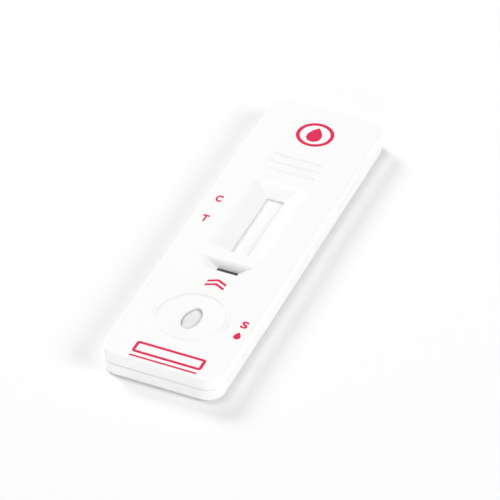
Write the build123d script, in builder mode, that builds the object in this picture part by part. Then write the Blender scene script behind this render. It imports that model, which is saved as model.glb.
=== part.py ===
from build123d import *
import math
import os

os.makedirs("parts", exist_ok=True)

# Lateral flow cassette: two moulded shells pinned together round a paper test strip.
# X is across the cassette, Y runs from the sample end (-) to the grip end (+), Z is up.
# The origin is the middle of the flat underside. All sizes are in millimetres.

# Outline shared by both shells
cassette_width = 20.0
cassette_length = 70.0
cassette_height = 4.45
corner_radius = 2.85
parting_height = 2.27
side_wall = 1.1
floor_thickness = 1.0
roof_thickness = 1.0
underside_bevel = 0.75
underside_bevel_height = 0.35
top_edge_round = 0.25
parting_bevel = 0.1
parting_gap = 0.06

# Tongue of the base that locates inside a rebate in the skirt of the cover
tongue_thickness = 0.45
tongue_height = 0.55
tongue_clearance = 0.08

# Pins of the cover and the sockets they are pressed into
pin_diameter = 1.6
pin_clearance = 0.04
pin_tip_bevel = 0.25
pin_gap_below = 0.2
post_diameter = 3.0
post_side_gap = 0.5
post_end_gap = 2.2

# Test strip, from the backing card up
strip_width = 4.0
strip_end_room = 3.9
card_thickness = 0.30
membrane_thickness = 0.15
conjugate_pad_thickness = 0.25
conjugate_pad_reach = 0.75
sample_pad_thickness = 0.80
absorbent_pad_thickness = 0.90
pad_overlap = 2.0
pad_ramp = 0.35
pad_headroom = 0.15

# Bed of the strip in the base
strip_side_clearance = 0.15
strip_end_clearance = 0.2
rail_thickness = 0.7
rail_length = 5.6
rail_above_card = 0.15
rest_thickness = 0.8
rest_pitch = 4.3
rests_per_rail = 2
rails_per_tie = 2
tie_thickness = 0.7

# Result window: a funnel with four sloping sides over a narrow slot
slot_width = 3.15
slot_length = 15.0
slot_land = 0.3
window_side_run = 2.85
window_far_run = 2.25
window_near_run = 1.5
slot_corner = 0.3
window_corner = 0.8
window_rim_round = 2.0
funnel_wall = 0.9
funnel_pad_gap = 0.5
funnel_gap = 0.08
conjugate_relief = 0.2

# Half-moon pocket between window and well, open to the strip through a slit
well_pocket_gap = 6.15
slit_width = 3.54
slit_length = 0.67
bridge_width = 2.5
pocket_far_run = 0.28
pocket_near_run = 1.9
pocket_width = 8.6
pocket_near_width = 4.9
pocket_side_bulge = 0.3
bridge_round = 0.8

# Sample well: a shallow dish with a low lip round it, which falls to an oval port
well_from_end = 12.75
dish_width = 11.3
dish_length = 10.6
dish_step = 0.12
dish_fall = 0.28
port_width = 2.9
port_length = 5.3
port_wall = 0.8
lip_width = 0.4
lip_rise = 0.14
lip_bevel = 0.1
port_rim_bevel = 0.12

# Finger grips at the far end
grip_count = 3
grip_pitch = 1.98
window_grip_gap = 2.92
grip_length = 8.6
grip_width = 0.6
grip_rise = 0.28
grip_bevel = 0.2

# Pressure bars under the roof, over the pads
bar_thickness = 1.0
bar_from_end = 1.2
bar_side_reach = 0.4

# Heights that follow from the sizes above
ceiling = cassette_height - roof_thickness
pad_stack = max(
    conjugate_pad_thickness + sample_pad_thickness,
    membrane_thickness + absorbent_pad_thickness,
)
card_top = ceiling - pad_headroom - pad_stack
strip_height = card_top - card_thickness
membrane_top = card_top + membrane_thickness
conjugate_top = card_top + conjugate_pad_thickness
press_height = membrane_top + conjugate_pad_thickness
funnel_foot = membrane_top + funnel_gap
land_top = funnel_foot + slot_land
port_height = cassette_height - dish_step - dish_fall

base_rim = parting_height - parting_gap / 2
skirt_rim = parting_height + parting_gap / 2

# Places along the cassette, from the sample end to the grip end
well_center = well_from_end - cassette_length / 2
pocket_near = well_center + dish_length / 2 + well_pocket_gap
slit_near = pocket_near + pocket_near_run
slit_far = slit_near + slit_length
pocket_far = slit_far + pocket_far_run
window_near = pocket_far + bridge_width
slot_near = window_near + window_near_run
slot_far = slot_near + slot_length
window_far = slot_far + window_far_run
window_half = slot_width / 2 + window_side_run
grip_center = window_far + window_grip_gap + (grip_width + (grip_count - 1) * grip_pitch) / 2

# Wall round the funnel under the roof, which widens upwards as the funnel does
funnel_slope = window_side_run / (cassette_height - land_top)
funnel_spread = funnel_slope * (ceiling - land_top)
funnel_near = slit_near - funnel_wall
funnel_far = slot_far + funnel_wall
funnel_half = slot_width / 2 + funnel_wall

# Strip: its length from the cassette, its layers from the openings above them
strip_length = cassette_length - 2 * (side_wall + strip_end_room)
strip_start = -strip_length / 2
strip_end = strip_length / 2
sample_pad_end = funnel_near - funnel_spread - funnel_pad_gap
conjugate_start = sample_pad_end - pad_overlap
conjugate_end = slit_far + conjugate_pad_reach
membrane_start = conjugate_end - pad_overlap
absorbent_start = funnel_far + funnel_spread + funnel_pad_gap
membrane_end = absorbent_start + pad_overlap

# Pins and their posts, clear of the walls
cavity_half = cassette_width / 2 - side_wall
cavity_end = cassette_length / 2 - side_wall
pin_x = cavity_half - post_side_gap - post_diameter / 2
pin_y = cavity_end - post_end_gap - post_diameter / 2
pin_places = [(x, y) for x in (-pin_x, pin_x) for y in (-pin_y, 0, pin_y)]


def shell_outline(inset):
    """Rounded outline of the shells, drawn inwards by the inset."""
    RectangleRounded(
        cassette_width - 2 * inset,
        cassette_length - 2 * inset,
        corner_radius - inset,
    )


def box_outline(half_width, near, far):
    """Rectangle across the cassette between two places along it."""
    with Locations((0, (near + far) / 2)):
        Rectangle(2 * half_width, far - near)


def soft_box_outline(half_width, near, far, corner):
    """The same rectangle with rounded corners."""
    with Locations((0, (near + far) / 2)):
        RectangleRounded(2 * half_width, far - near, corner)


def laid_pad(start, end, low, step_at, high, thickness):
    """Side view of a thin pad that climbs from one layer onto the next at its far end."""
    foot = step_at - math.copysign(pad_ramp, end - start)
    Polygon(
        (start, low),
        (foot, low),
        (step_at, high),
        (end, high),
        (end, high + thickness),
        (step_at, high + thickness),
        (foot, low + thickness),
        (start, low + thickness),
        align=None,
    )


# Base shell: a shallow tray that carries the strip on cross rests between two rails
tray_depth = parting_height - floor_thickness
rest_rise = strip_height - floor_thickness
rail_inside = strip_width / 2 + strip_side_clearance
rail_center = rail_inside + rail_thickness / 2
rail_rise = card_top + rail_above_card - floor_thickness
bed_end = strip_end + strip_end_clearance
tongue_inset = side_wall - tongue_thickness
tie_length = cavity_half - rail_inside
tie_center = rail_inside + tie_length / 2
rail_pitch = rests_per_rail * rest_pitch
rest_count = int(strip_length // rest_pitch) + 1
rail_count = int((strip_length - rail_length) // rail_pitch) + 1
first_rail = -rail_pitch * (rail_count - 1) / 2
rail_places = [first_rail + number * rail_pitch for number in range(rail_count)]

with BuildPart() as base_shell:
    with BuildSketch(Plane.XY):
        shell_outline(0)
    extrude(amount=base_rim)
    underside = base_shell.faces().sort_by(Axis.Z)[0]
    chamfer(underside.edges(), underside_bevel, underside_bevel_height, reference=underside)
    chamfer(base_shell.faces().sort_by(Axis.Z)[-1].edges(), parting_bevel)
    with BuildSketch(Plane.XY.offset(floor_thickness)):
        shell_outline(tongue_inset)
    extrude(amount=tray_depth + tongue_height)
    with BuildSketch(Plane.XY.offset(floor_thickness)):
        shell_outline(side_wall)
    extrude(amount=tray_depth + tongue_height, mode=Mode.SUBTRACT)
    with BuildSketch(Plane.XY.offset(floor_thickness)):
        with GridLocations(0, rest_pitch, 1, rest_count):
            Rectangle(2 * rail_inside, rest_thickness)
    extrude(amount=rest_rise)
    with BuildSketch(Plane.XY.offset(floor_thickness)):
        with Locations([(x, y) for x in (-rail_center, rail_center) for y in rail_places]):
            Rectangle(rail_thickness, rail_length)
        with GridLocations(0, 2 * bed_end + rail_thickness, 1, 2):
            Rectangle(2 * (rail_inside + rail_thickness), rail_thickness)
    extrude(amount=rail_rise)
    with BuildSketch(Plane.XY.offset(floor_thickness)):
        with Locations(
            [(x, y) for x in (-tie_center, tie_center) for y in rail_places[::rails_per_tie]]
        ):
            Rectangle(tie_length, tie_thickness)
    extrude(amount=rest_rise)
    with BuildSketch(Plane.XY.offset(floor_thickness)):
        with Locations(pin_places):
            Circle(post_diameter / 2)
    extrude(amount=tray_depth)
    with BuildSketch(Plane.XY.offset(floor_thickness)):
        with Locations(pin_places):
            Circle(pin_diameter / 2 + pin_clearance)
    extrude(amount=tray_depth, mode=Mode.SUBTRACT)
base_shell.part.label = "base_shell"
export_step(base_shell.part, "parts/base_shell.step")

# Space of the result window, from the sloping funnel down through the slot
with BuildPart() as window_space:
    with BuildSketch(Plane.XY.offset(land_top)):
        soft_box_outline(slot_width / 2, slot_near, slot_far, slot_corner)
    with BuildSketch(Plane.XY.offset(cassette_height)):
        soft_box_outline(window_half, window_near, window_far, window_corner)
    loft(ruled=True)
    with BuildSketch(Plane.XY.offset(funnel_foot)):
        soft_box_outline(slot_width / 2, slot_near, slot_far, slot_corner)
    extrude(amount=slot_land)

# Space of the half-moon pocket, from its rim at the top down through the slit
pocket_half = pocket_width / 2
side_middle_x = (pocket_half + pocket_near_width / 2) / 2 + pocket_side_bulge
side_middle_y = (pocket_far + pocket_near) / 2 - pocket_side_bulge
with BuildPart() as pocket_space:
    with BuildSketch(Plane.XY.offset(land_top)):
        box_outline(slit_width / 2, slit_near, slit_far)
    with BuildSketch(Plane.XY.offset(cassette_height)):
        with BuildLine():
            far_edge = Line((pocket_half, pocket_far), (-pocket_half, pocket_far))
            left_side = ThreePointArc(
                far_edge @ 1, (-side_middle_x, side_middle_y), (-pocket_near_width / 2, pocket_near)
            )
            near_edge = Line(left_side @ 1, (pocket_near_width / 2, pocket_near))
            ThreePointArc(near_edge @ 1, (side_middle_x, side_middle_y), far_edge @ 0)
        make_face()
    loft(ruled=True)
    with BuildSketch(Plane.XY.offset(press_height)):
        box_outline(slit_width / 2, slit_near, slit_far)
    extrude(amount=land_top - press_height)

# Space of the sample well: a small step, the dish and the port through the roof
with BuildPart() as well_space:
    with BuildSketch(Plane.XY.offset(cassette_height - dish_step)):
        with Locations((0, well_center)):
            Ellipse(dish_width / 2, dish_length / 2)
    extrude(amount=dish_step + lip_rise)
    with BuildSketch(Plane.XY.offset(cassette_height - dish_step)):
        with Locations((0, well_center)):
            Ellipse(dish_width / 2, dish_length / 2)
    with BuildSketch(Plane.XY.offset(port_height)):
        with Locations((0, well_center)):
            Ellipse(port_width / 2, port_length / 2)
    loft(ruled=True)
    with BuildSketch(Plane.XY.offset(card_top + sample_pad_thickness)):
        with Locations((0, well_center)):
            Ellipse(port_width / 2, port_length / 2)
    extrude(amount=cassette_height - dish_step - card_top - sample_pad_thickness)

# Top cover: roof and skirt with the window, pocket, well, grips, pins and pressure bars
skirt_depth = ceiling - parting_height
pad_bars = [
    ((conjugate_start + sample_pad_end) / 2, conjugate_top + sample_pad_thickness),
    ((absorbent_start + membrane_end) / 2, membrane_top + absorbent_pad_thickness),
    ((membrane_end + strip_end) / 2, card_top + absorbent_pad_thickness),
    (strip_end - bar_from_end, card_top + absorbent_pad_thickness),
    (strip_start + bar_from_end, card_top + sample_pad_thickness),
]

with BuildPart() as top_cover:
    with BuildSketch(Plane.XY.offset(skirt_rim)):
        shell_outline(0)
    extrude(amount=cassette_height - skirt_rim)
    fillet(top_cover.faces().sort_by(Axis.Z)[-1].edges(), top_edge_round)
    chamfer(top_cover.faces().sort_by(Axis.Z)[0].edges(), parting_bevel)
    with BuildSketch(Plane.XY.offset(parting_height)):
        shell_outline(side_wall)
    extrude(amount=skirt_depth, mode=Mode.SUBTRACT)
    with BuildSketch(Plane.XY.offset(parting_height)):
        shell_outline(tongue_inset - tongue_clearance)
    extrude(amount=tongue_height + tongue_clearance, mode=Mode.SUBTRACT)
    with BuildSketch(Plane.XY.offset(funnel_foot)):
        box_outline(funnel_half, funnel_near, funnel_far)
    with BuildSketch(Plane.XY.offset(ceiling)):
        box_outline(
            funnel_half + funnel_spread, funnel_near - funnel_spread, funnel_far + funnel_spread
        )
    loft(ruled=True)
    with BuildSketch(Plane.XY.offset(funnel_foot)):
        box_outline(cavity_half, sample_pad_end, conjugate_end + conjugate_relief)
    extrude(amount=press_height - funnel_foot, mode=Mode.SUBTRACT)
    with BuildSketch(Plane.XY.offset(card_top + sample_pad_thickness)):
        with Locations((0, well_center)):
            Ellipse(port_width / 2 + port_wall, port_length / 2 + port_wall)
    extrude(amount=ceiling - card_top - sample_pad_thickness)
    for bar_place, bar_foot in pad_bars:
        with BuildSketch(Plane.XY.offset(bar_foot)):
            with Locations((0, bar_place)):
                Rectangle(strip_width + 2 * bar_side_reach, bar_thickness)
        extrude(amount=ceiling - bar_foot)
    with BuildSketch(Plane.XY.offset(parting_height)):
        with Locations(pin_places):
            Circle(post_diameter / 2)
    extrude(amount=skirt_depth)
    with BuildSketch(Plane.XY.offset(floor_thickness + pin_gap_below)):
        with Locations(pin_places):
            Circle(pin_diameter / 2)
    extrude(amount=tray_depth - pin_gap_below)
    chamfer(top_cover.faces().group_by(Axis.Z)[0].edges(), pin_tip_bevel)
    with BuildSketch(Plane.XY.offset(cassette_height)):
        with Locations((0, grip_center)):
            with GridLocations(0, grip_pitch, 1, grip_count):
                SlotOverall(grip_length, grip_width)
    extrude(amount=grip_rise)
    chamfer(top_cover.faces().group_by(Axis.Z)[-1].edges(), grip_bevel)
    with BuildSketch(Plane.XY.offset(cassette_height)):
        with Locations((0, well_center)):
            Ellipse(dish_width / 2 + lip_width, dish_length / 2 + lip_width)
    extrude(amount=lip_rise)
    add(window_space.part, mode=Mode.SUBTRACT)
    add(pocket_space.part, mode=Mode.SUBTRACT)
    add(well_space.part, mode=Mode.SUBTRACT)
    top_edges = top_cover.edges().filter_by_position(Axis.Z, cassette_height, cassette_height)
    window_rim = top_edges.filter_by_position(Axis.Y, window_near, window_far)
    window_rim = window_rim.filter_by_position(Axis.X, -window_half, window_half)
    fillet(window_rim, window_rim_round)
    top_edges = top_cover.edges().filter_by_position(Axis.Z, cassette_height, cassette_height)
    fillet(top_edges.filter_by_position(Axis.Y, pocket_far, pocket_far), bridge_round)
    lip_top = cassette_height + lip_rise
    lip_edges = top_cover.edges().filter_by_position(Axis.Z, lip_top, lip_top)
    chamfer(lip_edges, lip_bevel)
    port_rim = top_cover.edges().filter_by_position(Axis.Z, port_height, port_height)
    chamfer(port_rim, port_rim_bevel)
top_cover.part.label = "top_cover"
export_step(top_cover.part, "parts/top_cover.step")

# Backing card: the full length of the strip, resting on the cross rests
with BuildPart() as backing_card:
    with BuildSketch(Plane.XY.offset(strip_height)):
        Rectangle(strip_width, strip_length)
    extrude(amount=card_thickness)
backing_card.part.label = "backing_card"
export_step(backing_card.part, "parts/backing_card.step")

# Membrane: the thin sheet under the result window
with BuildPart() as membrane:
    with BuildSketch(Plane.XY.offset(card_top)):
        box_outline(strip_width / 2, membrane_start, membrane_end)
    extrude(amount=membrane_thickness)
membrane.part.label = "membrane"
export_step(membrane.part, "parts/membrane.step")

# Conjugate pad: lies on the card and laps over the near end of the membrane
with BuildPart() as conjugate_pad:
    with BuildSketch(Plane.YZ):
        laid_pad(
            conjugate_start, conjugate_end, card_top,
            membrane_start, membrane_top, conjugate_pad_thickness,
        )
    extrude(amount=strip_width / 2, both=True)
conjugate_pad.part.label = "conjugate_pad"
export_step(conjugate_pad.part, "parts/conjugate_pad.step")

# Sample pad: under the well, lapping over the conjugate pad
with BuildPart() as sample_pad:
    with BuildSketch(Plane.YZ):
        laid_pad(
            strip_start, sample_pad_end, card_top,
            conjugate_start, conjugate_top, sample_pad_thickness,
        )
    extrude(amount=strip_width / 2, both=True)
sample_pad.part.label = "sample_pad"
export_step(sample_pad.part, "parts/sample_pad.step")

# Absorbent pad: from the grip end back over the far end of the membrane
with BuildPart() as absorbent_pad:
    with BuildSketch(Plane.YZ):
        laid_pad(
            strip_end, absorbent_start, card_top,
            membrane_end, membrane_top, absorbent_pad_thickness,
        )
    extrude(amount=strip_width / 2, both=True)
absorbent_pad.part.label = "absorbent_pad"
export_step(absorbent_pad.part, "parts/absorbent_pad.step")
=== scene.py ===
"""Dresses a lateral flow cassette: moulded shells, paper test strip, plain print and studio.

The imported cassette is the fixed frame, in metres. New pieces are modelled in millimetres,
which suits their thin edges, and are brought to metres when they are finished.
"""

import math

import bmesh
import bpy
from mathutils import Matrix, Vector


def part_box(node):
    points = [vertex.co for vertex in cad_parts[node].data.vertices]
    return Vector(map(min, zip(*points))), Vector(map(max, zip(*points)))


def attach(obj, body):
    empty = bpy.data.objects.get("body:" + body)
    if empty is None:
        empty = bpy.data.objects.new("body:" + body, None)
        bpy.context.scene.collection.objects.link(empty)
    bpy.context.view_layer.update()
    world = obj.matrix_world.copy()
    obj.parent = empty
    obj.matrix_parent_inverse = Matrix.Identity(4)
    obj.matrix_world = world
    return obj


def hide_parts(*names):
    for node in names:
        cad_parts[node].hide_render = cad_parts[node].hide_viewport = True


bl_info = {
    "name": "Lateral Flow Cassette",
    "version": (1, 0, 0),
    "blender": (4, 5, 0),
    "location": "View3D > Sidebar > Cassette",
    "description": "Moulded shells, paper test strip, plain print and a studio for the cassette",
    "category": "Object",
}

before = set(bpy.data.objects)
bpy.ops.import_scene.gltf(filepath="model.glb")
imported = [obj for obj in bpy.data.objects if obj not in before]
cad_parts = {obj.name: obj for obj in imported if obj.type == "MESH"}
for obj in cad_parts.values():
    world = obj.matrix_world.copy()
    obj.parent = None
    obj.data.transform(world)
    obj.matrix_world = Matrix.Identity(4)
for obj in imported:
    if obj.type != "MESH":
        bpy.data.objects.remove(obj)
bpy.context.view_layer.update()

MM = 0.001

# Places in the frame, in millimetres. The marks lie on the cover's face, below the ribs' tops.
FLOOR_GAP = 0.01
RIB_RISE = 0.28
PRINT_PLANE = (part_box("top_cover")[1] / MM).z - RIB_RISE
WELL_CENTRE_Y = -22.25
PORT_WIDTH, PORT_LENGTH = 2.9, 5.3

# How far out in the port the pad's face rises, and by which share of its bulge: the steps of
# its dome, from the middle outwards, and then the whole face up to its rim. The face is what
# lies within its depth of the pad's highest point.
DOME_STEPS = ((0.33, 0.03), (0.55, 0.06), (0.72, 0.09), (0.84, 0.11), (0.92, 0.15))
RIM_STEP = (0.97, 0.56)
FACE_DEPTH = 0.3

# Relief of the membrane, and width of the hollows in each layer's face, in millimetres
MEMBRANE_RELIEF = 0.004
MEMBRANE_PATCH, CONJUGATE_PATCH, SAMPLE_PATCH, ABSORBENT_PATCH = 1.6, 0.35, 0.5, 0.6

# Edges count as running along an axis, or as equally long, within these limits
STRAIGHT = 0.97
SAME_LENGTH = 0.002

# Marks on the cover, in millimetres. A share is of the mark's height, width or stroke, and the
# letters' weight is how far their outlines grow, in the font's own unit.
CONTROL_PLACE, TEST_PLACE = (-7.75, 5.9), (-7.85, 0.45)
SAMPLE_PLACE, DROPLET_PLACE = (8.4, -21.0), (8.35, -23.75)
LETTER_WIDTH_SHARE = 0.66
LETTER_WEIGHT = 0.045
CHEVRON_PLACES = ((0.4, -14.6), (0.4, -13.6))
CHEVRON_WIDTH, CHEVRON_RISE = 3.2, 0.75
EMBLEM_PLACE = (0.05, 27.6)
RING_STROKE_SHARE = 1.3
EMBLEM_DROPLET_SHARES = (0.40, 0.60)
FIELD_PLACE, FIELD_WIDTH, FIELD_HEIGHT, FIELD_CORNER = (0.6, -32.0), 11.6, 2.6, 0.5
RULE_PLACE, RULE_WIDTH = (0.5, -34.1), 11.2
RULE_STROKE_SHARE = 0.7

# Noise patterns: the part of their range that is used, and how they are stretched
PATTERN_LOW, PATTERN_HIGH = 0.3, 0.7
TINT_START, TINT_END = 0.35, 0.70
DRIFT_SCALE_SHARE = 0.045
FIBRE_ANGLES = (20, 80, 140)
FIBRE_STRETCH = (1.0, 0.09, 1.0)
CLOUD_SCALE = 900.0
INK_GRAIN_SCALE = 9000.0
GLOSS_DRIFT = 0.05

# Faces that meet at less than this angle look like one
PIECE_SMOOTHING, INK_SMOOTHING = math.radians(35), math.radians(30)

# Studio: place and size of each lamp in metres, point that the camera looks at in millimetres
KEY_LAMP = (-0.43, 0.22, 0.38), 0.22
SIDE_LAMP = (0.50, -0.03, 0.33), 0.24
TOP_LAMP = (-0.14, -0.01, 0.58), 0.12
FRONT_LAMP = (0.12, -0.58, 0.12), 0.24
FLOOR_SIZE = 4.0
AIM = (-0.16, 0.83, 0.0)
SENSOR_WIDTH = 36.0
NEAREST_SEEN = 0.01


# Sizes and colours that a user may change


class CassettePlastics(bpy.types.PropertyGroup):
    """Finish of the two moulded shells and the backing card."""

    shell_colour: bpy.props.FloatVectorProperty(
        name="Shell Colour",
        description="Colour of the moulded white polystyrene",
        subtype="COLOR",
        size=3,
        min=0.0,
        max=1.0,
        default=(0.91, 0.91, 0.905),
    )
    shell_roughness: bpy.props.FloatProperty(
        name="Shell Roughness",
        description="Roughness of the satin mould finish",
        subtype="FACTOR",
        min=0.0,
        max=1.0,
        default=0.42,
    )
    grain_size: bpy.props.FloatProperty(
        name="Grain Size",
        description="Width of the fine grain that the mould leaves",
        unit="LENGTH",
        min=0.00002,
        default=0.00022,
    )
    card_colour: bpy.props.FloatVectorProperty(
        name="Card Colour",
        description="Colour of the backing card under the strip",
        subtype="COLOR",
        size=3,
        min=0.0,
        max=1.0,
        default=(0.88, 0.88, 0.86),
    )


class CassetteStrip(bpy.types.PropertyGroup):
    """Sizes and colours of the paper layers on the card."""

    ramp: bpy.props.FloatProperty(
        name="Ramp",
        description="Length over which a pad climbs onto the layer below its end",
        unit="LENGTH",
        min=0.00005,
        default=0.00035,
    )
    cut_round: bpy.props.FloatProperty(
        name="Cut Rounding",
        description="Rounding that the slitting blade leaves on a cut edge",
        unit="LENGTH",
        min=0.000005,
        default=0.00004,
    )
    fibre_spacing: bpy.props.FloatProperty(
        name="Fibre Spacing",
        description="Distance between the points that carry the fibre relief",
        unit="LENGTH",
        min=0.00005,
        default=0.00012,
    )
    fibre_relief: bpy.props.FloatProperty(
        name="Fibre Relief",
        description="Depth of the hollows in the face of the thick pads",
        unit="LENGTH",
        min=0.0,
        default=0.00006,
    )
    membrane_colour: bpy.props.FloatVectorProperty(
        name="Membrane Colour",
        description="Colour of the nitrocellulose sheet under the window",
        subtype="COLOR",
        size=3,
        min=0.0,
        max=1.0,
        default=(0.95, 0.95, 0.945),
    )
    # Near-black neutral grey: partly the dark tone of the dried label, partly painted shade of the
    # narrow slit that shows the pad.
    conjugate_tone_and_slit_shade: bpy.props.FloatVectorProperty(
        name="Conjugate Colour",
        description="Colour of the pad that holds the dried label",
        subtype="COLOR",
        size=3,
        min=0.0,
        max=1.0,
        default=(0.115, 0.111, 0.115),
    )
    sample_colour: bpy.props.FloatVectorProperty(
        name="Sample Pad Colour",
        description="Colour of the fibre pad under the well",
        subtype="COLOR",
        size=3,
        min=0.0,
        max=1.0,
        default=(0.825, 0.825, 0.82),
    )
    port_bulge: bpy.props.FloatProperty(
        name="Port Bulge",
        description="Height to which the free face of the sample pad swells into the port",
        unit="LENGTH",
        min=0.0,
        max=0.0010,
        default=0.00085,
    )
    absorbent_colour: bpy.props.FloatVectorProperty(
        name="Absorbent Pad Colour",
        description="Colour of the thick cotton pad at the grip end",
        subtype="COLOR",
        size=3,
        min=0.0,
        max=1.0,
        default=(0.90, 0.90, 0.87),
    )


class CassettePrint(bpy.types.PropertyGroup):
    """Sizes and colour of the plain marks printed on the cover."""

    ink_colour: bpy.props.FloatVectorProperty(
        name="Ink Colour",
        description="Colour of the pad-printed ink",
        subtype="COLOR",
        size=3,
        min=0.0,
        max=1.0,
        default=(0.74, 0.012, 0.085),
    )
    ink_thickness: bpy.props.FloatProperty(
        name="Ink Thickness",
        description="Height of the ink above the cover",
        unit="LENGTH",
        min=0.000002,
        default=0.000015,
    )
    letter_height: bpy.props.FloatProperty(
        name="Letter Height",
        description="Height of the single letters beside the window and the well",
        unit="LENGTH",
        min=0.0002,
        default=0.0017,
    )
    stroke: bpy.props.FloatProperty(
        name="Stroke",
        description="Width of the lines in the emblem, the field and the chevrons",
        unit="LENGTH",
        min=0.0001,
        default=0.00050,
    )
    emblem_width: bpy.props.FloatProperty(
        name="Emblem Width",
        description="Outer width of the ring with the droplet",
        unit="LENGTH",
        min=0.001,
        default=0.0064,
    )


class CassetteStudio(bpy.types.PropertyGroup):
    """Light, floor and camera of the studio."""

    dome_horizon: bpy.props.FloatProperty(
        name="Dome at Horizon",
        description="Strength of the white light from all sides, at floor height",
        min=0.0,
        default=1.12,
    )
    dome_zenith: bpy.props.FloatProperty(
        name="Dome at Zenith",
        description="Strength of the same light straight above",
        min=0.0,
        default=0.0,
    )
    key_power: bpy.props.FloatProperty(
        name="Key Power",
        description="Power of the soft lamp behind the left side",
        unit="POWER",
        min=0.0,
        default=1.60,
    )
    side_power: bpy.props.FloatProperty(
        name="Side Power",
        description="Power of the soft lamp on the right side",
        unit="POWER",
        min=0.0,
        default=1.25,
    )
    top_power: bpy.props.FloatProperty(
        name="Top Power",
        description="Power of the smaller lamp nearly overhead",
        unit="POWER",
        min=0.0,
        default=0.78,
    )
    front_power: bpy.props.FloatProperty(
        name="Front Power",
        description="Power of the low soft lamp in front",
        unit="POWER",
        min=0.0,
        default=0.50,
    )
    floor_seen: bpy.props.FloatProperty(
        name="Floor Seen",
        description="Paleness of the floor as the camera and reflections see it",
        min=0.0,
        default=0.953,
    )
    floor_lit: bpy.props.FloatProperty(
        name="Floor Lit",
        description="Paleness of the floor as it throws light back at the object",
        min=0.0,
        max=1.0,
        default=1.0,
    )
    lens: bpy.props.FloatProperty(
        name="Lens",
        description="Focal length of the camera",
        unit="CAMERA",
        min=1.0,
        default=219.7,
    )
    distance: bpy.props.FloatProperty(
        name="Distance",
        description="Distance from the camera to the point it looks at",
        unit="LENGTH",
        min=0.1,
        default=0.490,
    )
    azimuth: bpy.props.FloatProperty(
        name="Azimuth",
        description="Turn of the camera round the cassette, from straight in front",
        subtype="ANGLE",
        default=math.radians(23.34),
    )
    elevation: bpy.props.FloatProperty(
        name="Elevation",
        description="Height of the camera above the floor, as an angle",
        subtype="ANGLE",
        default=math.radians(39.73),
    )


# Shared modelling steps


def in_mm(length):
    """A length in metres as millimetres."""
    return length / MM


def start_piece():
    """Leaves edit mode, if it is on, and deselects everything."""
    if bpy.context.object is not None and bpy.context.object.mode != "OBJECT":
        bpy.ops.object.mode_set(mode="OBJECT")
    bpy.ops.object.select_all(action="DESELECT")


def select_by(piece, elements, test):
    """In edit mode, selects the "faces", "edges" or "verts" of the piece that pass the test."""
    shape = bmesh.from_edit_mesh(piece.data)
    for every in (shape.faces, shape.edges, shape.verts):
        for element in every:
            element.select = False
    chosen = [element for element in getattr(shape, elements) if test(element)]
    for element in chosen:
        element.select = True
    shape.select_flush(elements == "verts")
    bmesh.update_edit_mesh(piece.data)


def apply_modifiers(piece):
    """Applies every modifier of the piece, in order."""
    for modifier in list(piece.modifiers):
        bpy.ops.object.modifier_apply(modifier=modifier.name)


def finish_piece(piece, name, material, smooth_angle=PIECE_SMOOTHING):
    """Brings a piece from millimetres to metres, names it and gives it its finish."""
    if bpy.context.object.mode != "OBJECT":
        bpy.ops.object.mode_set(mode="OBJECT")
    piece.scale = (MM, MM, MM)
    piece.location = piece.location * MM
    bpy.ops.object.transform_apply(location=True, rotation=True, scale=True)
    bpy.ops.object.shade_smooth_by_angle(angle=smooth_angle)
    piece.name = name
    piece.data.name = name
    piece.data.materials.clear()
    piece.data.materials.append(material)
    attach(piece, "root")
    return piece


def add_block(low, high):
    """A box between two corners, in millimetres, with its place in its mesh."""
    start_piece()
    middle = (low + high) / 2
    bpy.ops.mesh.primitive_cube_add(size=1, location=middle, scale=high - low)
    bpy.ops.object.transform_apply(location=True, rotation=True, scale=True)
    return bpy.context.object


# Materials


def new_material(name):
    """An empty node material and its surface shader, joined to the output."""
    material = bpy.data.materials.new(name)
    material.use_nodes = True
    material.node_tree.nodes.clear()
    output = material.node_tree.nodes.new("ShaderNodeOutputMaterial")
    shader = material.node_tree.nodes.new("ShaderNodeBsdfPrincipled")
    material.node_tree.links.new(shader.outputs["BSDF"], output.inputs["Surface"])
    return material, shader


def set_input(node, **values):
    """Sets sockets of a node by name, with spaces written as underscores."""
    for key, value in values.items():
        node.inputs[key.replace("_", " ")].default_value = value
    return node


def fine_grain_group():
    """Node group: a fine grain and a broad drift, as moulded plastic, ink and card have."""
    group = bpy.data.node_groups.get("fine_grain")
    if group is not None:
        return group
    group = bpy.data.node_groups.new("fine_grain", "ShaderNodeTree")
    scale = group.interface.new_socket("Scale", in_out="INPUT", socket_type="NodeSocketFloat")
    scale.default_value = 5000.0
    group.interface.new_socket("Grain", in_out="OUTPUT", socket_type="NodeSocketFloat")
    group.interface.new_socket("Drift", in_out="OUTPUT", socket_type="NodeSocketFloat")
    nodes, links = group.nodes, group.links
    group_in = nodes.new("NodeGroupInput")
    group_out = nodes.new("NodeGroupOutput")
    place = nodes.new("ShaderNodeTexCoord")
    fine = set_input(nodes.new("ShaderNodeTexNoise"), Detail=2.0, Roughness=0.5)
    broad = set_input(nodes.new("ShaderNodeTexNoise"), Detail=3.0, Roughness=0.55)
    broader = nodes.new("ShaderNodeMath")
    broader.operation = "MULTIPLY"
    broader.inputs[1].default_value = DRIFT_SCALE_SHARE
    links.new(place.outputs["Object"], fine.inputs["Vector"])
    links.new(place.outputs["Object"], broad.inputs["Vector"])
    links.new(group_in.outputs["Scale"], fine.inputs["Scale"])
    links.new(group_in.outputs["Scale"], broader.inputs[0])
    links.new(broader.outputs["Value"], broad.inputs["Scale"])
    links.new(fine.outputs["Fac"], group_out.inputs["Grain"])
    links.new(broad.outputs["Fac"], group_out.inputs["Drift"])
    return group


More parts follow.
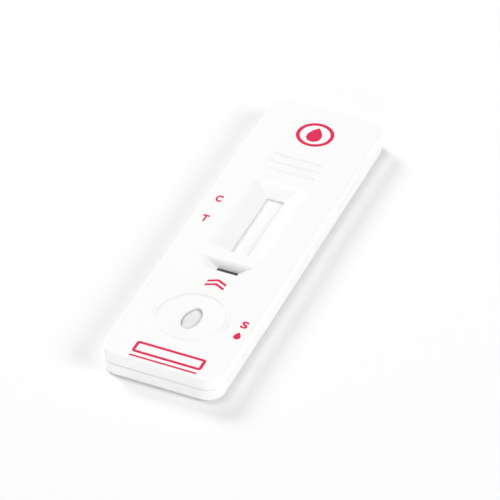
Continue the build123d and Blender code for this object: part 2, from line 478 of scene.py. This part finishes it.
def fibre_mat_group():
    """Node group: crossing fibres at three angles, as filter paper and glass fibre have."""
    group = bpy.data.node_groups.get("fibre_mat")
    if group is not None:
        return group
    group = bpy.data.node_groups.new("fibre_mat", "ShaderNodeTree")
    scale = group.interface.new_socket("Scale", in_out="INPUT", socket_type="NodeSocketFloat")
    scale.default_value = 2500.0
    group.interface.new_socket("Fibres", in_out="OUTPUT", socket_type="NodeSocketFloat")
    group.interface.new_socket("Cloud", in_out="OUTPUT", socket_type="NodeSocketFloat")
    nodes, links = group.nodes, group.links
    group_in = nodes.new("NodeGroupInput")
    group_out = nodes.new("NodeGroupOutput")
    place = nodes.new("ShaderNodeTexCoord")
    strands = []
    for angle in FIBRE_ANGLES:
        turn = nodes.new("ShaderNodeMapping")
        turn.inputs["Rotation"].default_value = (0.0, 0.0, math.radians(angle))
        turn.inputs["Scale"].default_value = FIBRE_STRETCH
        strand = set_input(nodes.new("ShaderNodeTexNoise"), Detail=3.0, Roughness=0.6)
        links.new(place.outputs["Object"], turn.inputs["Vector"])
        links.new(turn.outputs["Vector"], strand.inputs["Vector"])
        links.new(group_in.outputs["Scale"], strand.inputs["Scale"])
        strands.append(strand)
    highest = strands[0].outputs["Fac"]
    for strand in strands[1:]:
        pick = nodes.new("ShaderNodeMath")
        pick.operation = "MAXIMUM"
        links.new(highest, pick.inputs[0])
        links.new(strand.outputs["Fac"], pick.inputs[1])
        highest = pick.outputs["Value"]
    cloud = set_input(nodes.new("ShaderNodeTexNoise"), Scale=CLOUD_SCALE, Detail=3.0)
    links.new(place.outputs["Object"], cloud.inputs["Vector"])
    links.new(highest, group_out.inputs["Fibres"])
    links.new(cloud.outputs["Fac"], group_out.inputs["Cloud"])
    return group


def place_group(material, group, scale):
    """The node group in a material, at its own scale."""
    node = material.node_tree.nodes.new("ShaderNodeGroup")
    node.node_tree = group
    node.inputs["Scale"].default_value = scale
    return node


def add_range(material, source, low, high):
    """A value from a 0 to 1 pattern, brought between two limits."""
    node = material.node_tree.nodes.new("ShaderNodeMapRange")
    set_input(node, From_Min=PATTERN_LOW, From_Max=PATTERN_HIGH, To_Min=low, To_Max=high)
    material.node_tree.links.new(source, node.inputs["Value"])
    return node.outputs["Result"]


def add_tint(material, source, colour, darker):
    """The colour, darkened by a factor where the pattern is high."""
    ramp = material.node_tree.nodes.new("ShaderNodeValToRGB")
    ramp.color_ramp.elements[0].position = TINT_START
    ramp.color_ramp.elements[0].color = (*colour, 1.0)
    ramp.color_ramp.elements[1].position = TINT_END
    ramp.color_ramp.elements[1].color = (*[part * darker for part in colour], 1.0)
    material.node_tree.links.new(source, ramp.inputs["Fac"])
    return ramp.outputs["Color"]


def add_bump(material, shader, height, depth, strength):
    """Relief of a given depth, in metres, on the shader's normal."""
    bump = material.node_tree.nodes.new("ShaderNodeBump")
    set_input(bump, Strength=strength, Distance=depth)
    material.node_tree.links.new(height, bump.inputs["Height"])
    material.node_tree.links.new(bump.outputs["Normal"], shader.inputs["Normal"])


def moulded_plastic(name, colour, roughness, grain_size):
    """White polystyrene with the satin grain of a spark-eroded mould."""
    material, shader = new_material(name)
    grain = place_group(material, fine_grain_group(), 1 / grain_size)
    links = material.node_tree.links
    drift = grain.outputs["Drift"]
    links.new(add_tint(material, drift, colour, darker=0.995), shader.inputs["Base Color"])
    gloss = add_range(material, drift, roughness - GLOSS_DRIFT, roughness + GLOSS_DRIFT)
    links.new(gloss, shader.inputs["Roughness"])
    add_bump(material, shader, grain.outputs["Grain"], depth=0.000002, strength=0.35)
    set_input(shader, Specular_IOR_Level=0.45, IOR=1.55)
    return material


def strip_paper(name, colour, fibre_size, depth, darker):
    """A matt fibre pad with crossing fibres in its face."""
    material, shader = new_material(name)
    mat = place_group(material, fibre_mat_group(), 1 / fibre_size)
    links = material.node_tree.links
    tint = add_tint(material, mat.outputs["Cloud"], colour, darker)
    links.new(tint, shader.inputs["Base Color"])
    dullness = add_range(material, mat.outputs["Fibres"], low=0.82, high=0.95)
    links.new(dullness, shader.inputs["Roughness"])
    add_bump(material, shader, mat.outputs["Fibres"], depth, strength=0.8)
    set_input(shader, Specular_IOR_Level=0.2)
    return material


def printed_ink(name, colour):
    """Pad-printed ink: a little uneven, and duller than the plastic below it."""
    material, shader = new_material(name)
    grain = place_group(material, fine_grain_group(), INK_GRAIN_SCALE)
    links = material.node_tree.links
    tint = add_tint(material, grain.outputs["Drift"], colour, darker=0.88)
    links.new(tint, shader.inputs["Base Color"])
    dullness = add_range(material, grain.outputs["Grain"], low=0.45, high=0.60)
    links.new(dullness, shader.inputs["Roughness"])
    add_bump(material, shader, grain.outputs["Grain"], depth=0.000003, strength=0.3)
    set_input(shader, Specular_IOR_Level=0.25)
    return material


def ink():
    """The one ink of all printed marks."""
    material = bpy.data.materials.get("crimson_ink")
    if material is None:
        material = printed_ink("crimson_ink", bpy.context.scene.cassette_print.ink_colour)
    return material


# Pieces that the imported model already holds


class CASSETTE_OT_shells(bpy.types.Operator):
    """Gives the cover, the base and the backing card their finishes"""

    bl_idname = "cassette.shells"
    bl_label = "Moulded Shells and Card"

    def execute(self, context):
        plastics = context.scene.cassette_plastics
        for node in ("top_cover", "base_shell"):
            finish = moulded_plastic(
                node + "_polystyrene",
                plastics.shell_colour,
                plastics.shell_roughness,
                plastics.grain_size,
            )
            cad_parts[node].material_slots[0].material = finish
        card = moulded_plastic(
            "card_vinyl",
            plastics.card_colour,
            roughness=0.6,
            grain_size=plastics.grain_size / 2,
        )
        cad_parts["backing_card"].material_slots[0].material = card
        return {"FINISHED"}


# Paper layers of the strip


def slice_edges(piece, along, spacing):
    """Cuts the piece across one axis, so that its long faces can carry a relief."""

    def has_run(edge, length=None):
        run = edge.verts[1].co - edge.verts[0].co
        straight = abs(run[along]) > STRAIGHT * run.length
        return straight and (length is None or abs(run.length - length) < SAME_LENGTH)

    bpy.ops.mesh.select_mode(type="EDGE")
    shape = bmesh.from_edit_mesh(piece.data)
    lengths = []
    for edge in shape.edges:
        length = round((edge.verts[1].co - edge.verts[0].co).length, 3)
        if has_run(edge) and length not in lengths:
            lengths.append(length)
    for length in lengths:
        cuts = round(length / spacing) - 1
        if cuts >= 1:
            select_by(piece, "edges", lambda edge: has_run(edge, length))
            bpy.ops.mesh.subdivide(number_cuts=cuts)


def round_cut_edges(radius):
    """Rounds the sharp edges of the piece in edit mode, as a slitting blade does."""
    bpy.ops.mesh.select_mode(type="EDGE")
    bpy.ops.mesh.select_all(action="DESELECT")
    bpy.ops.mesh.edges_select_sharp(sharpness=math.radians(60))
    bpy.ops.mesh.bevel(offset=radius, segments=2, affect="EDGES")


def roughen(piece, relief, patch):
    """Presses shallow hollows into the faces of a pad, never outwards."""
    texture = bpy.data.textures.new(piece.name + "_fibres", "CLOUDS")
    texture.noise_scale = patch
    texture.noise_depth = 2
    press = piece.modifiers.new("Fibre Relief", "DISPLACE")
    press.texture = texture
    press.texture_coords = "LOCAL"
    press.mid_level = 1.0
    press.strength = relief
    apply_modifiers(piece)


def laid_pad(node, start, step, end, rise):
    """A pad that lies flat from start, climbs by the rise before the step and runs to its end."""
    strip = bpy.context.scene.cassette_strip
    low, high = (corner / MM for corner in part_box(node))
    thickness = high.z - low.z - rise
    way = math.copysign(1.0, end - start)
    ramp = way * in_mm(strip.ramp)
    foot = step - ramp
    near, far = min(start, foot), max(start, foot)
    piece = add_block(Vector((low.x, near, low.z)), Vector((high.x, far, low.z + thickness)))
    piece.name = node
    bpy.ops.object.mode_set(mode="EDIT")
    bpy.ops.mesh.select_mode(type="FACE")
    select_by(piece, "faces", lambda face: face.normal.y * way > 0.9)
    bpy.ops.mesh.extrude_region_move(TRANSFORM_OT_translate={"value": (0, ramp, rise)})
    bpy.ops.mesh.extrude_region_move(TRANSFORM_OT_translate={"value": (0, end - step, 0)})
    round_cut_edges(in_mm(strip.cut_round))
    spacing = in_mm(strip.fibre_spacing)
    slice_edges(piece, 1, spacing)
    slice_edges(piece, 0, spacing)
    bpy.ops.object.mode_set(mode="OBJECT")
    return piece


def swell_into_port(piece, bulge):
    """Lets the face of the pad rise as a soft dome where the port leaves it free."""
    top = max(vert.co.z for vert in piece.data.vertices)

    def is_free(vert, reach):
        along = (vert.co.y - WELL_CENTRE_Y) / (PORT_LENGTH / 2)
        out = math.hypot(vert.co.x / (PORT_WIDTH / 2), along)
        return vert.co.z > top - FACE_DEPTH and out < reach

    bpy.ops.object.mode_set(mode="EDIT")
    bpy.ops.mesh.select_mode(type="VERT")
    for reach, share in DOME_STEPS:
        select_by(piece, "verts", lambda vert: is_free(vert, reach))
        bpy.ops.transform.translate(value=(0, 0, share * bulge))
    reach, share = RIM_STEP
    select_by(piece, "verts", lambda vert: is_free(vert, reach))
    bpy.ops.mesh.vertices_smooth(factor=0.5, repeat=3, xaxis=False, yaxis=False, zaxis=True)
    bpy.ops.transform.translate(value=(0, 0, share * bulge))
    bpy.ops.object.mode_set(mode="OBJECT")


class CASSETTE_OT_membrane(bpy.types.Operator):
    """Models the thin sheet that shows through the result window"""

    bl_idname = "cassette.membrane"
    bl_label = "Membrane"

    def execute(self, context):
        strip = context.scene.cassette_strip
        low, high = (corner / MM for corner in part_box("membrane"))
        piece = add_block(low, high)
        bpy.ops.object.mode_set(mode="EDIT")
        round_cut_edges(in_mm(strip.cut_round) / 2)
        spacing = 3 * in_mm(strip.fibre_spacing)
        slice_edges(piece, 1, spacing)
        slice_edges(piece, 0, spacing)
        bpy.ops.object.mode_set(mode="OBJECT")
        roughen(piece, MEMBRANE_RELIEF, MEMBRANE_PATCH)
        finish = strip_paper(
            "nitrocellulose",
            strip.membrane_colour,
            fibre_size=0.00012,
            depth=0.000003,
            darker=0.99,
        )
        finish_piece(piece, "membrane_sheet", finish)
        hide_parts("membrane")
        return {"FINISHED"}


class CASSETTE_OT_pads(bpy.types.Operator):
    """Models the conjugate, sample and absorbent pads, each lapping over its neighbour"""

    bl_idname = "cassette.pads"
    bl_label = "Fibre Pads"

    def execute(self, context):
        strip = context.scene.cassette_strip
        relief = in_mm(strip.fibre_relief)
        membrane_low, membrane_high = (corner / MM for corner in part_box("membrane"))
        conjugate_low, conjugate_high = (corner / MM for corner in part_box("conjugate_pad"))
        sample_low, sample_high = (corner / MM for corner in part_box("sample_pad"))
        absorbent_low, absorbent_high = (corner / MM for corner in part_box("absorbent_pad"))
        membrane_rise = membrane_high.z - membrane_low.z
        conjugate_rise = conjugate_high.z - conjugate_low.z - membrane_rise

        conjugate = laid_pad(
            "conjugate_pad", conjugate_low.y, membrane_low.y, conjugate_high.y, membrane_rise
        )
        roughen(conjugate, relief / 3, CONJUGATE_PATCH)
        # This pad's colour carries painted shade of the slit over it, as well as the label's own
        # dark tone.
        finish = strip_paper(
            "label_fibre", strip.conjugate_tone_and_slit_shade, fibre_size=0.00016, depth=0.00002, darker=0.7
        )
        finish_piece(conjugate, "conjugate_fibre_pad", finish)
        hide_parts("conjugate_pad")

        sample = laid_pad(
            "sample_pad", sample_low.y, conjugate_low.y, sample_high.y, conjugate_rise
        )
        roughen(sample, relief, SAMPLE_PATCH)
        swell_into_port(sample, in_mm(strip.port_bulge))
        finish = strip_paper(
            "sample_fibre", strip.sample_colour, fibre_size=0.00022, depth=0.00004, darker=0.93
        )
        finish_piece(sample, "sample_fibre_pad", finish)
        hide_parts("sample_pad")

        absorbent = laid_pad(
            "absorbent_pad", absorbent_high.y, membrane_high.y, absorbent_low.y, membrane_rise
        )
        roughen(absorbent, relief, ABSORBENT_PATCH)
        finish = strip_paper(
            "cotton_fibre", strip.absorbent_colour, fibre_size=0.00030, depth=0.00005, darker=0.95
        )
        finish_piece(absorbent, "absorbent_cotton_pad", finish)
        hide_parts("absorbent_pad")
        return {"FINISHED"}


# Plain print on the cover


def raise_ink(piece):
    """Gives a flat mark its ink thickness, upwards from the face of the cover."""
    thickness = in_mm(bpy.context.scene.cassette_print.ink_thickness)
    bpy.ops.object.mode_set(mode="EDIT")
    bpy.ops.mesh.select_all(action="SELECT")
    bpy.ops.mesh.normals_make_consistent(inside=False)
    bpy.ops.mesh.extrude_region_move(TRANSFORM_OT_translate={"value": (0, 0, thickness)})
    bpy.ops.mesh.select_all(action="SELECT")
    bpy.ops.mesh.normals_make_consistent(inside=False)
    bpy.ops.object.mode_set(mode="OBJECT")


def print_piece(piece, name):
    """Raises a flat mark that lies on the print plane and finishes it in ink."""
    raise_ink(piece)
    return finish_piece(piece, name, ink(), smooth_angle=INK_SMOOTHING)


def flat_letter(letter, centre, width, height):
    """A single plain letter, flat on the print plane, at a given size and centre."""
    start_piece()
    bpy.ops.object.text_add()
    text = bpy.context.object
    text.data.body = letter
    text.data.offset = LETTER_WEIGHT
    text.data.resolution_u = 6
    bpy.ops.object.convert(target="MESH")
    piece = bpy.context.object
    corners = [Vector(corner) for corner in piece.bound_box]
    low = Vector(min(corner[axis] for corner in corners) for axis in range(3))
    high = Vector(max(corner[axis] for corner in corners) for axis in range(3))
    across, along = width / (high.x - low.x), height / (high.y - low.y)
    middle = (low + high) / 2
    piece.scale = (across, along, 1)
    piece.location = (centre[0] - middle.x * across, centre[1] - middle.y * along, PRINT_PLANE)
    bpy.ops.object.transform_apply(location=True, rotation=True, scale=True)
    return piece


def flat_ring(centre, outer, stroke, points=72):
    """A flat ring on the print plane."""
    start_piece()
    bpy.ops.mesh.primitive_circle_add(
        vertices=points, radius=outer, fill_type="NGON", location=(*centre, PRINT_PLANE)
    )
    piece = bpy.context.object
    bpy.ops.object.transform_apply(location=True, rotation=True, scale=True)
    bpy.ops.object.mode_set(mode="EDIT")
    bpy.ops.mesh.select_mode(type="FACE")
    bpy.ops.mesh.select_all(action="SELECT")
    bpy.ops.mesh.inset(thickness=stroke)
    bpy.ops.mesh.delete(type="FACE")
    bpy.ops.object.mode_set(mode="OBJECT")
    return piece


def flat_droplet(centre, width, height, points=40):
    """A flat droplet on the print plane, with its tip towards the grip end."""
    start_piece()
    radius = width / 2
    bpy.ops.mesh.primitive_circle_add(
        vertices=points,
        radius=radius,
        fill_type="NGON",
        location=(centre[0], centre[1] - height / 2 + radius, PRINT_PLANE),
    )
    piece = bpy.context.object
    bpy.ops.object.transform_apply(location=True, rotation=True, scale=True)
    pull = height - width
    tip_y = centre[1] - height / 2 + width
    bpy.ops.object.mode_set(mode="EDIT")
    bpy.ops.mesh.select_mode(type="VERT")
    select_by(piece, "verts", lambda vert: vert.co.y > tip_y - 0.01 * radius)
    bpy.ops.transform.translate(
        value=(0, pull, 0),
        use_proportional_edit=True,
        proportional_edit_falloff="SHARP",
        proportional_size=1.05 * width,
    )
    bpy.ops.object.mode_set(mode="OBJECT")
    return piece


def flat_bar(centre, width, height):
    """A flat bar on the print plane."""
    start_piece()
    bpy.ops.mesh.primitive_plane_add(size=1, location=(*centre, PRINT_PLANE))
    piece = bpy.context.object
    piece.scale = (width, height, 1)
    bpy.ops.object.transform_apply(location=True, rotation=True, scale=True)
    return piece


def flat_chevron(centre, width, rise, stroke):
    """A flat chevron on the print plane that points towards the grip end."""
    piece = flat_bar(centre, width, stroke)
    bpy.ops.object.mode_set(mode="EDIT")
    bpy.ops.mesh.select_mode(type="EDGE")
    select_by(
        piece, "edges", lambda edge: abs(edge.verts[0].co.x - edge.verts[1].co.x) > stroke
    )
    bpy.ops.mesh.subdivide(number_cuts=1)
    bpy.ops.mesh.select_mode(type="VERT")
    select_by(piece, "verts", lambda vert: abs(vert.co.x - centre[0]) < 0.01 * width)
    bpy.ops.transform.translate(value=(0, rise, 0))
    bpy.ops.object.mode_set(mode="OBJECT")
    return piece


def flat_field(centre, width, height, stroke, corner):
    """The outline of a blank writing field on the print plane, with rounded corners."""
    piece = flat_bar(centre, width, height)
    bpy.ops.object.mode_set(mode="EDIT")
    bpy.ops.mesh.select_mode(type="VERT")
    bpy.ops.mesh.select_all(action="SELECT")
    bpy.ops.mesh.bevel(offset=corner, segments=6, affect="VERTICES")
    bpy.ops.mesh.select_mode(type="FACE")
    bpy.ops.mesh.select_all(action="SELECT")
    bpy.ops.mesh.inset(thickness=stroke)
    bpy.ops.mesh.delete(type="FACE")
    bpy.ops.object.mode_set(mode="OBJECT")
    return piece


class CASSETTE_OT_window_marks(bpy.types.Operator):
    """Prints the usual control and test letters beside the result window"""

    bl_idname = "cassette.window_marks"
    bl_label = "Window Marks"

    def execute(self, context):
        height = in_mm(context.scene.cassette_print.letter_height)
        width = LETTER_WIDTH_SHARE * height
        print_piece(flat_letter("C", CONTROL_PLACE, width, height), "control_mark")
        print_piece(flat_letter("T", TEST_PLACE, width, height), "test_mark")
        return {"FINISHED"}


class CASSETTE_OT_well_marks(bpy.types.Operator):
    """Prints the usual sample letter and a droplet beside the well"""

    bl_idname = "cassette.well_marks"
    bl_label = "Well Marks"

    def execute(self, context):
        height = in_mm(context.scene.cassette_print.letter_height)
        width = LETTER_WIDTH_SHARE * height
        print_piece(flat_letter("S", SAMPLE_PLACE, width, height), "sample_mark")
        print_piece(flat_droplet(DROPLET_PLACE, width, height), "droplet_mark")
        return {"FINISHED"}


class CASSETTE_OT_flow_marks(bpy.types.Operator):
    """Prints two chevrons that point along the flow, between well and window"""

    bl_idname = "cassette.flow_marks"
    bl_label = "Flow Chevrons"

    def execute(self, context):
        stroke = in_mm(context.scene.cassette_print.stroke)
        for number, centre in enumerate(CHEVRON_PLACES, start=1):
            piece = flat_chevron(centre, CHEVRON_WIDTH, CHEVRON_RISE, stroke)
            print_piece(piece, f"flow_chevron_{number}")
        return {"FINISHED"}


class CASSETTE_OT_emblem(bpy.types.Operator):
    """Prints a plain ring with a droplet above the finger ribs"""

    bl_idname = "cassette.emblem"
    bl_label = "Ring and Droplet"

    def execute(self, context):
        printing = context.scene.cassette_print
        width = in_mm(printing.emblem_width)
        ring = flat_ring(EMBLEM_PLACE, width / 2, in_mm(printing.stroke) * RING_STROKE_SHARE)
        print_piece(ring, "emblem_ring")
        across, along = (width * share for share in EMBLEM_DROPLET_SHARES)
        print_piece(flat_droplet(EMBLEM_PLACE, across, along), "emblem_droplet")
        return {"FINISHED"}


class CASSETTE_OT_writing_field(bpy.types.Operator):
    """Prints a blank field to write in, with a rule below it, at the sample end"""

    bl_idname = "cassette.writing_field"
    bl_label = "Writing Field"

    def execute(self, context):
        stroke = in_mm(context.scene.cassette_print.stroke)
        field = flat_field(FIELD_PLACE, FIELD_WIDTH, FIELD_HEIGHT, stroke, FIELD_CORNER)
        print_piece(field, "writing_field")
        rule = flat_bar(RULE_PLACE, RULE_WIDTH, stroke * RULE_STROKE_SHARE)
        print_piece(rule, "writing_rule")
        return {"FINISHED"}


# Studio


def add_lamp(name, location, size, power):
    """A square soft lamp that points at the cassette."""
    lamp = bpy.data.lights.new(name, "AREA")
    lamp.shape = "SQUARE"
    lamp.size = size
    lamp.energy = power
    holder = bpy.data.objects.new(name, lamp)
    bpy.context.scene.collection.objects.link(holder)
    holder.location = location
    holder.rotation_euler = (-Vector(location)).to_track_quat("-Z", "Y").to_euler()


def seen_rays(tree):
    """One for camera, glossy and transmission rays, and nothing for rays that light the object."""
    path = tree.nodes.new("ShaderNodeLightPath")
    total = path.outputs["Is Camera Ray"]
    for ray in ("Is Glossy Ray", "Is Transmission Ray"):
        add = tree.nodes.new("ShaderNodeMath")
        add.operation = "MAXIMUM"
        tree.links.new(total, add.inputs[0])
        tree.links.new(path.outputs[ray], add.inputs[1])
        total = add.outputs["Value"]
    return total


def floor_paint(seen, lit):
    """Pale floor that keeps its shadows and reads white where nothing shades it."""
    material = bpy.data.materials.new("floor_paint")
    material.use_nodes = True
    tree = material.node_tree
    tree.nodes.clear()
    output = tree.nodes.new("ShaderNodeOutputMaterial")
    matt = tree.nodes.new("ShaderNodeBsdfDiffuse")
    paleness = tree.nodes.new("ShaderNodeMapRange")
    set_input(paleness, To_Min=lit, To_Max=seen)
    tree.links.new(seen_rays(tree), paleness.inputs["Value"])
    tree.links.new(paleness.outputs["Result"], matt.inputs["Color"])
    tree.links.new(matt.outputs["BSDF"], output.inputs["Surface"])
    return material


def light_dome(horizon, zenith):
    """White light from all sides, strongest low down, which the camera sees as plain white."""
    world = bpy.data.worlds.new("studio_dome")
    world.use_nodes = True
    tree = world.node_tree
    tree.nodes.clear()
    output = tree.nodes.new("ShaderNodeOutputWorld")
    dome = tree.nodes.new("ShaderNodeBackground")
    ray = tree.nodes.new("ShaderNodeTexCoord")
    height = tree.nodes.new("ShaderNodeSeparateXYZ")
    fall = tree.nodes.new("ShaderNodeMapRange")
    set_input(fall, To_Min=horizon, To_Max=zenith)
    tree.links.new(ray.outputs["Generated"], height.inputs["Vector"])
    tree.links.new(height.outputs["Z"], fall.inputs["Value"])
    tree.links.new(fall.outputs["Result"], dome.inputs["Strength"])
    white = tree.nodes.new("ShaderNodeBackground")
    white.inputs["Strength"].default_value = 1.0
    for shade in (dome, white):
        shade.inputs["Color"].default_value = (1.0, 1.0, 1.0, 1.0)
    pick = tree.nodes.new("ShaderNodeMixShader")
    tree.links.new(seen_rays(tree), pick.inputs["Fac"])
    tree.links.new(dome.outputs["Background"], pick.inputs[1])
    tree.links.new(white.outputs["Background"], pick.inputs[2])
    tree.links.new(pick.outputs["Shader"], output.inputs["Surface"])
    bpy.context.scene.world = world


class CASSETTE_OT_studio(bpy.types.Operator):
    """Sets up the pale floor, the soft light and the camera"""

    bl_idname = "cassette.studio"
    bl_label = "Studio"

    def execute(self, context):
        studio = context.scene.cassette_studio
        start_piece()
        bpy.ops.mesh.primitive_plane_add(size=FLOOR_SIZE, location=(0, 0, -FLOOR_GAP * MM))
        floor = context.object
        floor.name = "studio_floor"
        floor.data.materials.append(floor_paint(studio.floor_seen, studio.floor_lit))
        light_dome(studio.dome_horizon, studio.dome_zenith)
        add_lamp("key_lamp", *KEY_LAMP, studio.key_power)
        add_lamp("side_lamp", *SIDE_LAMP, studio.side_power)
        add_lamp("top_lamp", *TOP_LAMP, studio.top_power)
        add_lamp("front_lamp", *FRONT_LAMP, studio.front_power)

        aim = Vector(AIM) * MM
        level = math.cos(studio.elevation)
        away = Vector(
            (
                math.sin(studio.azimuth) * level,
                -math.cos(studio.azimuth) * level,
                math.sin(studio.elevation),
            )
        )
        camera_data = bpy.data.cameras.new("photo_camera")
        camera_data.lens = studio.lens
        camera_data.sensor_width = SENSOR_WIDTH
        camera_data.clip_start = NEAREST_SEEN
        camera = bpy.data.objects.new("photo_camera", camera_data)
        context.scene.collection.objects.link(camera)
        camera.location = aim + away * studio.distance
        camera.rotation_euler = (-away).to_track_quat("-Z", "Y").to_euler()
        context.scene.camera = camera
        context.scene.view_settings.view_transform = "Standard"
        return {"FINISHED"}


# Panel and registration


OPERATORS = (
    CASSETTE_OT_shells,
    CASSETTE_OT_membrane,
    CASSETTE_OT_pads,
    CASSETTE_OT_window_marks,
    CASSETTE_OT_well_marks,
    CASSETTE_OT_flow_marks,
    CASSETTE_OT_emblem,
    CASSETTE_OT_writing_field,
    CASSETTE_OT_studio,
)
SETTINGS = {
    "cassette_plastics": CassettePlastics,
    "cassette_strip": CassetteStrip,
    "cassette_print": CassettePrint,
    "cassette_studio": CassetteStudio,
}


class CASSETTE_PT_sidebar(bpy.types.Panel):
    """Lists the sizes, colours and steps of the cassette"""

    bl_idname = "CASSETTE_PT_sidebar"
    bl_label = "Lateral Flow Cassette"
    bl_space_type = "VIEW_3D"
    bl_region_type = "UI"
    bl_category = "Cassette"

    def draw(self, context):
        for name in SETTINGS:
            settings = getattr(context.scene, name)
            box = self.layout.box()
            for key in settings.bl_rna.properties.keys():
                if key not in {"rna_type", "name"}:
                    box.prop(settings, key)
        for operator in OPERATORS:
            self.layout.operator(operator.bl_idname)


def register():
    for settings in SETTINGS.values():
        bpy.utils.register_class(settings)
    for name, settings in SETTINGS.items():
        setattr(bpy.types.Scene, name, bpy.props.PointerProperty(type=settings))
    for operator in OPERATORS:
        bpy.utils.register_class(operator)
    bpy.utils.register_class(CASSETTE_PT_sidebar)


def unregister():
    bpy.utils.unregister_class(CASSETTE_PT_sidebar)
    for operator in reversed(OPERATORS):
        bpy.utils.unregister_class(operator)
    for name in SETTINGS:
        delattr(bpy.types.Scene, name)
    for settings in reversed(list(SETTINGS.values())):
        bpy.utils.unregister_class(settings)


def main():
    """Builds every piece in order."""
    register()
    bpy.ops.cassette.shells()
    bpy.ops.cassette.membrane()
    bpy.ops.cassette.pads()
    bpy.ops.cassette.window_marks()
    bpy.ops.cassette.well_marks()
    bpy.ops.cassette.flow_marks()
    bpy.ops.cassette.emblem()
    bpy.ops.cassette.writing_field()
    bpy.ops.cassette.studio()
    start_piece()


if __name__ == "__main__":
    main()
